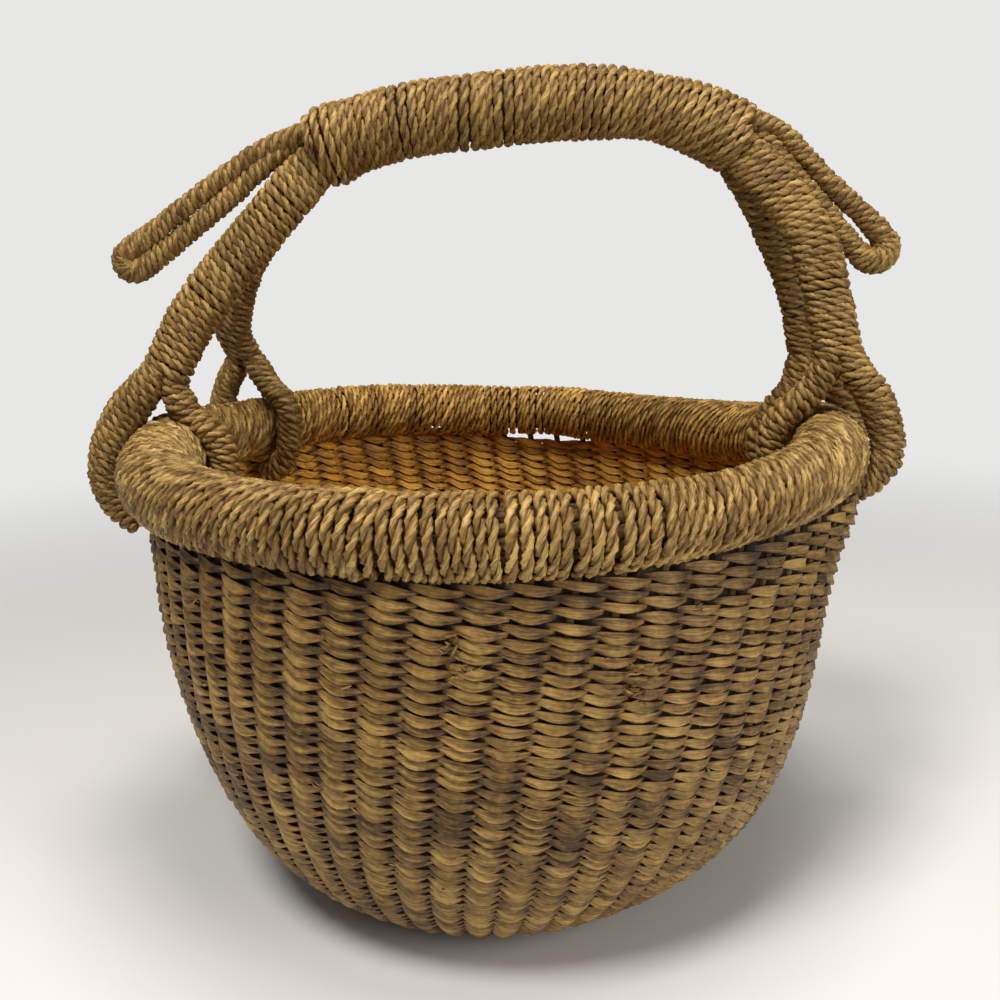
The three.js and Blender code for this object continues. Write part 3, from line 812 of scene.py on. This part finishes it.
def wind(tubes, line, outward, radius, spread, pitch, ply, lay, lean=0.0, rings=26, swell=None, crowd=None):
    """Winds a two-ply cord round a line. radius reaches the cord's outside, and swell adds to it by share.
    crowd gives, by share, how many times as close the turns stand."""
    along = lengths_along(line)
    close = crowd(along / along[-1]) if crowd else 1 + 0 * along
    wound = np.concatenate([[0], np.cumsum(np.diff(along) * (close[1:] + close[:-1]) / 2)]) / pitch
    turns = wound[-1]
    count = int(turns * rings)
    turn = np.linspace(0, turns, count)
    progress = np.interp(turn + wander(count, rings * 2.5, 0.16), wound, along)
    shares = progress / along[-1]
    middle = between(progress, along, line)
    tangents = unit(between(progress, along, tangents_of(line)))
    up = across_lines(unit(between(progress, along, outward)), tangents)
    across = np.cross(tangents, up)
    off = radius - PLY_REACH * ply + (swell(shares) if swell else 0.0)
    off += wander(count, rings * 1.3, 0.16)
    place, out = stadium(turn, off, spread + 0 * off)
    centres = middle + across * place[:, :1] + up * place[:, 1:]
    centres += tangents * (lean * (place[:, 1] / radius))[:, None]
    normals = across * out[:, :1] + up * out[:, 1:]
    two_ply(tubes, centres, normals, ply, lay, WOUND_APART)


def add_rim():
    """The rim roll: one cord wound all the way round a bundle, in pieces."""
    per_piece = (RIM_TURNS // RIM_PIECES + 1) * RIM_RINGS
    count = RIM_TURNS * RIM_RINGS
    turn = np.linspace(0, RIM_TURNS, count)
    bunch = wander(count, RIM_RINGS * 2.6, 0.24)
    bunch *= np.minimum(1, np.minimum(turn, RIM_TURNS - turn) / 3)
    azimuth = np.pi / 2 + 2 * np.pi * (turn + bunch) / RIM_TURNS
    start_wave = math.sin(np.pi / 2 - RIM_SPARSE_AZIMUTH)
    azimuth += RIM_CROWDING * (np.sin(azimuth - RIM_SPARSE_AZIMUTH) - start_wave)
    lean = RIM_LEAN + wander(count, RIM_RINGS * 7, RIM_LEAN_SPREAD)
    lean += RIM_LEFT_LEAN * bell(azimuth, *RIM_LEFT)
    for gap in RIM_GAPS:
        off = degrees_off(azimuth, gap)
        azimuth += RIM_GAP_SHIFT * np.tanh(off * 2) * np.exp(-np.abs(off) / 2.5)
    mess = spot(azimuth, *RIM_MESS)
    lean += RIM_MESS_LEAN * mess
    ply = RIM_PLY * (1 + RIM_CROWDING * np.cos(azimuth - RIM_SPARSE_AZIMUTH))
    swell = spot(azimuth, *RIM_SWELL)
    arch = SLOT_ARCH * spot(azimuth, SLOT_AZIMUTH, SLOT_WIDTH)
    radius = ROLL_RADIUS - PLY_REACH * ply
    radius += wander(count, RIM_RINGS * 1.2, 0.22) + wander(count, RIM_RINGS * 14, 0.3)
    radius += RIM_SWELL_SIZE * swell + RIM_MESS_SIZE * mess - arch
    for middle, width, size in RIM_SIZES:
        radius += size * spot(azimuth, middle, width)
    angle = 2 * np.pi * turn + np.pi / 2
    azimuth += np.tan(lean) * radius * np.sin(angle) / RIM_RADIUS
    out = level_way(azimuth)
    normals = out * np.cos(angle)[:, None] + UP * np.sin(angle)[:, None]
    hump = spot(azimuth, *RIM_HUMP)
    height = RIM_HEIGHT + RIM_SWELL_RISE * swell + RIM_HUMP_RISE * hump + arch
    height += RIM_RIGHT_HUMP_RISE * spot(azimuth, *RIM_RIGHT_HUMP)
    reach = RIM_RADIUS + RIM_SWELL_REACH * swell + RIM_HUMP_REACH * hump
    centres = out * reach[:, None] + UP * height[:, None] + normals * radius[:, None]
    # Painted light on the rear half of the roll
    gold = RIM_PAINTED_LIGHT * smoothstep(np.sin(azimuth), 0.0, 0.7)
    for piece in range(RIM_PIECES):
        tubes = Tubes()
        part = slice(piece * per_piece, (piece + 1) * per_piece + 1)
        look = dict(tone=0.9, gold=gold[part])
        two_ply(tubes, centres[part], normals[part], ply[part], RIM_LAY, RIM_APART, **look)
        tubes.build("rim_cord_%d" % (piece + 1), cord_straw, "cord_straw", "rim_wrap")


add_rim()


def add_rim_core():
    """A bundle of straws inside the roll, twisted slowly round each other."""
    core = Tubes()
    azimuth = 2 * np.pi * np.arange(BUNDLE_RINGS) / BUNDLE_RINGS
    out = level_way(azimuth)
    for layer, straws, straw_radius in RIM_BUNDLE:
        for number in range(straws):
            angle = 2 * np.pi * number / straws + BUNDLE_TWISTS * azimuth
            off = layer * (out * np.cos(angle)[:, None] + UP * np.sin(angle)[:, None])
            centres = (out * RIM_RADIUS + off + [0, 0, RIM_HEIGHT])[None]
            tangents = ring_tangents(centres)
            sideways = across_lines(out[None], tangents)
            size = np.full((1, BUNDLE_RINGS), straw_radius)
            shade = np.full((1, BUNDLE_RINGS), rng.normal(0, 1))
            core.add(centres, tangents, sideways, size, size, shade, 6, True)
    core.build("rim_bundle", core_straw, "stake_straw", "rim_core")


add_rim_core()


# Handle lines
def grip_point(x):
    """The grip's middle, which droops to both ends of its crest."""
    from_crest = x - GRIP_SHIFT - GRIP_CREST
    span = GRIP_HALF_LENGTH + GRIP_END_EASE - np.sign(from_crest) * GRIP_CREST
    share = np.abs(from_crest) / span
    dip = GRIP_DIP * bell(x, GRIP_DIP_PLACE, GRIP_DIP_REACH)
    return np.stack([x, 0 * x, GRIP_HEIGHT - GRIP_DROOP * share**GRIP_DROOP_POWER - dip], -1)


def point_around(azimuth, radius, height):
    turn = math.radians(azimuth)
    return np.array([radius * math.cos(turn), radius * math.sin(turn), height])


def arch_height(share):
    """A height from the forks, at 0, to the grip, at 1."""
    return blend(RIM_HEIGHT + FORK_RISE, GRIP_HEIGHT, share)


def outward_of(leg):
    return point_around(PRONGS[leg]["azimuth"], 1.0, 0.0)


def fork_point(leg):
    facts = PRONGS[leg]
    return point_around(facts["azimuth"], RIM_RADIUS - facts["fork_inset"], RIM_HEIGHT + FORK_RISE)


def knee_point(leg):
    facts = KNEES[leg]
    return point_around(facts["azimuth"], RIM_RADIUS - facts["inset"], arch_height(facts["share"]))


def arch_line(arch):
    """The middle of a pair of rods, from the left fork through the grip to the right fork."""
    side = -1 if arch == "front" else 1
    left, right = arch + "_left", arch + "_right"
    grip = grip_point(GRIP_SHIFT + np.array(GRIP_STATIONS) * GRIP_HALF_LENGTH)
    grip += [0, side * ARCH_SPREAD, -GRIP_DROP]
    line = smooth_line([fork_point(left), knee_point(left), *grip, knee_point(right), fork_point(right)])
    along = lengths_along(line)
    for leg, distance in ((left, along), (right, along[-1] - along)):
        for middle, reach, move in LEG_BENDS.get(leg, ()):
            line += bell(distance, middle, reach)[:, None] * np.array(move)
    return line


def away_from_mouth(line):
    return across_lines(line - MOUTH_MIDDLE, tangents_of(line))


def prong_points(leg, side):
    """Points of a prong from its tip round the roll up to the fork. side is 1 outside the roll, -1 inside."""
    facts = PRONGS[leg]
    if side > 0:
        bow, rise, tuck, tip = facts["bow"], OUTER_RISE, facts.get("tuck", OUTER_TUCK), facts["tip"]
        shoulder, toe = facts["shoulder"], facts.get("toe", 0.0)
    else:
        bow, rise, tuck, tip = facts.get("hug", 0.0) - PRONG_HUG, PRONG_HUG, PRONG_HUG, INNER_TIP_ANGLE
        shoulder, toe = -facts.get("inner_shoulder", 0.0), 0.0
    points = []
    for angle in np.radians([*(share * tip for share in PRONG_SHARES), *PRONG_ANGLES]):
        height = (tuck if angle < 0 else rise) * math.sin(angle)
        reach = RIM_RADIUS + bow * math.cos(angle)
        reach -= toe * math.sin(angle) if angle < 0 else shoulder * math.sin(2 * angle)
        points.append(point_around(facts["azimuth"], reach, RIM_HEIGHT + height))
    return points


ARCHES = {arch: arch_line(arch) for arch in ("front", "rear")}


def rod_line(arch, side):
    """A rod from its left tip to its right tip."""
    middle = evenly(ARCHES[arch], 27)
    middle += side * ROD_SPREAD * away_from_mouth(middle)
    start = prong_points(arch + "_left", side)
    end = prong_points(arch + "_right", side)[::-1]
    return smooth_line([*start, *middle, *end])


def part_of(line, near_start, near_end):
    """The stretch of a line between the places nearest to two points, as even points."""
    along = lengths_along(line)
    first = np.argmin(np.linalg.norm(line - near_start, axis=1))
    last = np.argmin(np.linalg.norm(line - near_end, axis=1))
    count = max(int(abs(along[last] - along[first])), 12)
    return at_lengths(line, np.linspace(along[first], along[last], count))


def plain_tube(tubes, line, reference, radius, sides=8, tone=0.0):
    """A round tube without turns, for a rod or for the dark lining under a cord, painted shade in the gaps
    between turns.
    """
    line = evenly(line, max(int(lengths_along(line)[-1] / 4), 8))
    tubes.add_line(line, reference, np.full(len(line), radius), 1.0, tone + wander(len(line), 8, 0.7), sides)


def in_grip(side, depth):
    """The grip's middle at a depth in from its left end (side -1) or right end (side 1)."""
    return grip_point(np.array([GRIP_SHIFT + side * (GRIP_HALF_LENGTH - depth)]))[0]


def fray(tubes, tip, way, radius, count, reach):
    """Short straw ends that stick out of a cord's end."""
    side = unit(np.cross(way, [0.3, 0.9, 0.2]))
    other = np.cross(way, side)
    for _ in range(count):
        turn = rng.uniform(0, 2 * np.pi)
        off = radius * math.sqrt(rng.uniform(0, 1))
        aside = math.cos(turn) * side + math.sin(turn) * other
        root = tip + off * aside
        splay = 0.45 * aside * off / radius
        length = reach * rng.uniform(0.5, 1.1)
        bend = rng.normal(0, 0.12, 3)
        share = np.linspace(0, 1, 5)[:, None]
        line = root + (way + splay) * length * share + bend * length * share**2
        size = rng.uniform(0.35, 0.6) * np.linspace(1, 0.35, 5)
        tubes.add_line(line, side, size, 0.6, np.full(5, rng.normal()))


def add_prong(rod, leg, side, place):
    """The cord round a rod from its tip to the fork."""
    facts = PRONGS[leg]
    tip = prong_points(leg, side)[0]
    stretch = part_of(rod, tip, fork_point(leg) + [0, 0, 3])
    radial = stretch - outward_of(leg) * RIM_RADIUS - [0, 0, RIM_HEIGHT]
    fatter = facts["swell"] if side > 0 else -facts.get("slim", 0.0)

    def swell(share):
        return fatter * bell(share, 0.62, 0.38) - 1.6 * smoothstep(share, 0.85, 1)

    def crowd(share):
        return 1.12 + 0 * share

    wrap = Tubes()
    # A dark lining under the cord: painted shade in the gaps between its turns
    plain_tube(wrap, stretch[:-9], ROD_REFERENCE, PRONG_RADIUS - 2.6, 10, LINING_PAINTED_SHADE)
    look = dict(rings=PRONG_RINGS, swell=swell, crowd=crowd if side > 0 else None)
    wind(wrap, stretch, unit(radial), PRONG_RADIUS, 0.0, WOUND_PITCH, LEG_PLY, PRONG_LAY, **look)
    fray(wrap, stretch[0], unit(stretch[0] - stretch[3]), 5.0, 16, 2.0)
    name = "%s_%s_prong" % (leg, place)
    wrap.build(name + "_cord", leg_straw, "leg_straw", name + "_wrap")


def add_leg(arch, hand, side):
    """The cord round a pair of rods from their fork to the grip."""
    leg = "%s_%s" % (arch, hand)
    line = part_of(ARCHES[arch], fork_point(leg), in_grip(side, 0) + [0, 0, -6])
    radius = LEG_RADIUS + LEG_SWELL.get(leg, 0.0)

    def swell(share):
        return 0.3 - 1.5 * smoothstep(share, 0.85, 1.0)

    binding = Tubes()
    outward = away_from_mouth(line)
    wind(binding, line, outward, radius, ROD_SPREAD, WOUND_PITCH, LEG_PLY, LEG_LAY, swell=swell)
    binding.build(leg + "_leg_cord", leg_straw, "leg_straw", leg + "_leg_binding")


def add_handle():
    for arch in ("front", "rear"):
        for side, place in ((1, "outer"), (-1, "inner")):
            rod = rod_line(arch, side)
            core = Tubes()
            plain_tube(core, rod, ROD_REFERENCE, ROD_RADIUS)
            core.build("%s_%s_rod" % (arch, place), core_straw, "rod_straw", "%s_arch_%s_rod" % (arch, place))
            for hand in ("left", "right"):
                add_prong(rod, "%s_%s" % (arch, hand), side, place)
        for hand, side in (("left", -1), ("right", 1)):
            add_leg(arch, hand, side)


add_handle()


def add_grip():
    x = np.linspace(GRIP_SHIFT - GRIP_HALF_LENGTH - 3, GRIP_SHIFT + GRIP_HALF_LENGTH + 3, 200)
    line = grip_point(x)
    up = across_lines(UP, tangents_of(line))

    def swell(share):
        return 2.0 * bell(share, 0.04, 0.03) - 1.9 * bell(share, 0.79, 0.09)

    cord = Tubes()
    look = dict(lean=1.0, rings=GRIP_RINGS, swell=swell)
    wind(cord, line, up, GRIP_RADIUS, 0.0, WOUND_PITCH, GRIP_PLY, GRIP_LAY, **look)
    cord.build("grip_cord", cord_straw, "cord_straw", "grip_binding")
    pack = Tubes()
    plain_tube(pack, line[16:-16], (0.0, 1.0, 0.0), GRIP_PACK, 16)
    pack.build("grip_pack", core_straw, "rod_straw", "grip_underwrap")


add_grip()


def ear_line(facts):
    """The line of a strand that leaves the grip and comes back into it, and the way up across the ear."""
    side = facts["side"]
    root = in_grip(side, 0) + [side * facts["start"], 0, facts["rise"]]
    bend = np.array([side * (RIM_RADIUS + facts["past"]), facts["aside"], arch_height(facts["share"])])
    axis = unit(bend - root)
    upward = unit(UP - axis * axis[2])
    above, below = facts["above"], facts["below"]
    eye = (above[-1] + below[-1]) / 2
    heart = bend + upward * (above[-1] - below[-1]) / 2
    rise = math.sqrt((GRIP_HOLLOW * math.cos(math.pi / 12) - 0.3 - EAR_CORE) ** 2 - (EAR_SPREAD / 2) ** 2)

    def strand(turn):
        off = np.array([0, -turn * EAR_SPREAD / 2, rise])
        line = [in_grip(side, depth) + off for depth in (EAR_BURIED, EAR_BURIED / 2, 0)]
        for share, reach in zip(EAR_SHARES, above if turn > 0 else below):
            line.append(blend(root, bend, share) + upward * turn * reach)
        line.append(heart + upward * turn * eye * 0.72 + axis * eye * 0.7)
        return line

    return smooth_line([*strand(1), heart + axis * eye, *strand(-1)[::-1]]), upward


def add_ears():
    for hand, facts in EARS.items():
        line, upward = ear_line(facts)
        core = Tubes()
        plain_tube(core, line, EAR_REFERENCE, EAR_CORE, 6)
        core.build(hand + "_ear_straw", core_straw, "rod_straw", hand + "_ear_strand")
        along = lengths_along(line)
        skip = EAR_BURIED - 3.0
        wound = at_lengths(line, np.linspace(skip, along[-1] - skip, int(along[-1] - 2 * skip)))
        side = across_lines((0.0, -1.0, 0.0), tangents_of(wound))
        tip_swell = facts["tip_swell"]

        def swell(share):
            return 0.6 * bell(share, 0.5, 0.28) + tip_swell * bell(share, 0.5, 0.07)

        def crowd(share):
            return 1 + 1.2 * bell(share, 0.5, 0.055)

        wrap = Tubes()
        # A dark lining under the cord: painted shade in the gaps between its turns
        plain_tube(wrap, wound, EAR_REFERENCE, EAR_RADIUS - 1.4, 8, LINING_PAINTED_SHADE)
        look = dict(rings=EAR_RINGS, swell=swell, crowd=crowd)
        wind(wrap, wound, side, EAR_RADIUS, 0.0, EAR_PITCH, EAR_PLY, EAR_LAY, **look)
        wrap.build(hand + "_ear_cord", leg_straw, "leg_straw", hand + "_ear_wrap")


add_ears()


# Stage, light and camera
BACKGROUND = (0.80, 0.80, 0.79, 1)
FLOOR = (0.86, 0.86, 0.85, 1)
FLOOR_ROUGHNESS = 0.9
FLOOR_DROP = 0.0006
FLOOR_FADE = (0.35, 1.3)
SKY = (1.0, 0.98, 0.95, 1)
SKY_STRENGTH = 0.14

# Name, place, target, size, power and colour of each lamp, in metres and watts
LAMPS = (
    ("key", (-0.35, -0.8, 1.5), (0, 0, 0.2), 0.45, 15.5, (1.0, 0.97, 0.92)),
    ("fill", (1.2, -1.0, 0.8), (0, 0, 0.2), 0.9, 10.0, (1.0, 0.97, 0.93)),
    ("top_light", (0.1, -0.25, 1.6), (0, 0.05, 0.2), 0.6, 10.8, (1.0, 0.96, 0.9)),
)

# The photograph's camera, fitted to the rim, the wall and the handle
CAMERA_PLACE = (17.0 + BOWL_LEAN, -539.4, 311.7)
CAMERA_PITCH = math.radians(12.66)
CAMERA_YAW = math.radians(-1.61)
CAMERA_ROLL = math.radians(1.44)
FOCAL_SHARE = 1.074
SENSOR_WIDTH = 36.0


def add_stage():
    """A pale floor that fades to the background away from the basket."""
    bpy.ops.mesh.primitive_plane_add(size=12, location=(0, 0, -FLOOR_DROP))
    floor = bpy.context.object
    floor.name = "floor"
    material, nodes, links, shader = new_material("floor_pale", FLOOR_ROUGHNESS)
    shader.inputs["Base Color"].default_value = FLOOR
    far = add_node(nodes, "Emission", Color=BACKGROUND)
    place = add_node(nodes, "TexCoord")
    length = add_node(nodes, "VectorMath")
    length.operation = "LENGTH"
    links.new(place.outputs["Object"], length.inputs[0])
    fade = add_node(nodes, "MapRange")
    fade.interpolation_type = "SMOOTHSTEP"
    fade.inputs["From Min"].default_value, fade.inputs["From Max"].default_value = FLOOR_FADE
    links.new(length.outputs["Value"], fade.inputs["Value"])
    seen = add_node(nodes, "LightPath")
    both = add_node(nodes, "Math")
    both.operation = "MULTIPLY"
    links.new(fade.outputs["Result"], both.inputs[0])
    links.new(seen.outputs["Is Camera Ray"], both.inputs[1])
    mix = add_node(nodes, "MixShader")
    links.new(both.outputs["Value"], mix.inputs["Fac"])
    links.new(shader.outputs["BSDF"], mix.inputs[1])
    links.new(far.outputs["Emission"], mix.inputs[2])
    links.new(mix.outputs["Shader"], nodes["Material Output"].inputs["Surface"])
    floor.data.materials.append(material)


def look_matrix(right, up, back, place):
    return Matrix([*zip(right, up, back, place), (0, 0, 0, 1)])


def add_lamp(name, place, target, size, power, color):
    lamp = bpy.data.lights.new(name, "AREA")
    lamp.shape = "DISK"
    lamp.size = size
    lamp.energy = power
    lamp.color = color
    place, target = np.array(place, float), np.array(target, float)
    back = unit(place - target)
    right = unit(np.cross(UP, back))
    new_object(name, lamp).matrix_world = look_matrix(right, np.cross(back, right), back, place)


def add_world():
    world = bpy.data.worlds.new("studio")
    bpy.context.scene.world = world
    world.use_nodes = True
    nodes, links = world.node_tree.nodes, world.node_tree.links
    light = set_inputs(nodes["Background"], Color=SKY, Strength=SKY_STRENGTH)
    shown = add_node(nodes, "Background", Color=BACKGROUND, Strength=1.0)
    path = add_node(nodes, "LightPath")
    mix = add_node(nodes, "MixShader")
    links.new(path.outputs["Is Camera Ray"], mix.inputs["Fac"])
    links.new(light.outputs["Background"], mix.inputs[1])
    links.new(shown.outputs["Background"], mix.inputs[2])
    links.new(mix.outputs["Shader"], nodes["World Output"].inputs["Surface"])


def add_camera():
    flat = math.cos(CAMERA_PITCH)
    forward = np.array([math.sin(CAMERA_YAW) * flat, math.cos(CAMERA_YAW) * flat, -math.sin(CAMERA_PITCH)])
    level = np.array([math.cos(CAMERA_YAW), -math.sin(CAMERA_YAW), 0.0])
    down = np.cross(forward, level)
    right = math.cos(CAMERA_ROLL) * level + math.sin(CAMERA_ROLL) * down
    up = math.sin(CAMERA_ROLL) * level - math.cos(CAMERA_ROLL) * down
    data = bpy.data.cameras.new("camera")
    data.lens = FOCAL_SHARE * SENSOR_WIDTH
    data.sensor_width = SENSOR_WIDTH
    data.clip_start = 0.01
    camera = new_object("camera", data)
    camera.matrix_world = look_matrix(right, up, -forward, np.array(CAMERA_PLACE) * MM)
    bpy.context.scene.camera = camera


add_stage()
add_world()
for lamp_facts in LAMPS:
    add_lamp(*lamp_facts)
add_camera()
bpy.context.scene.view_settings.view_transform = "Standard"
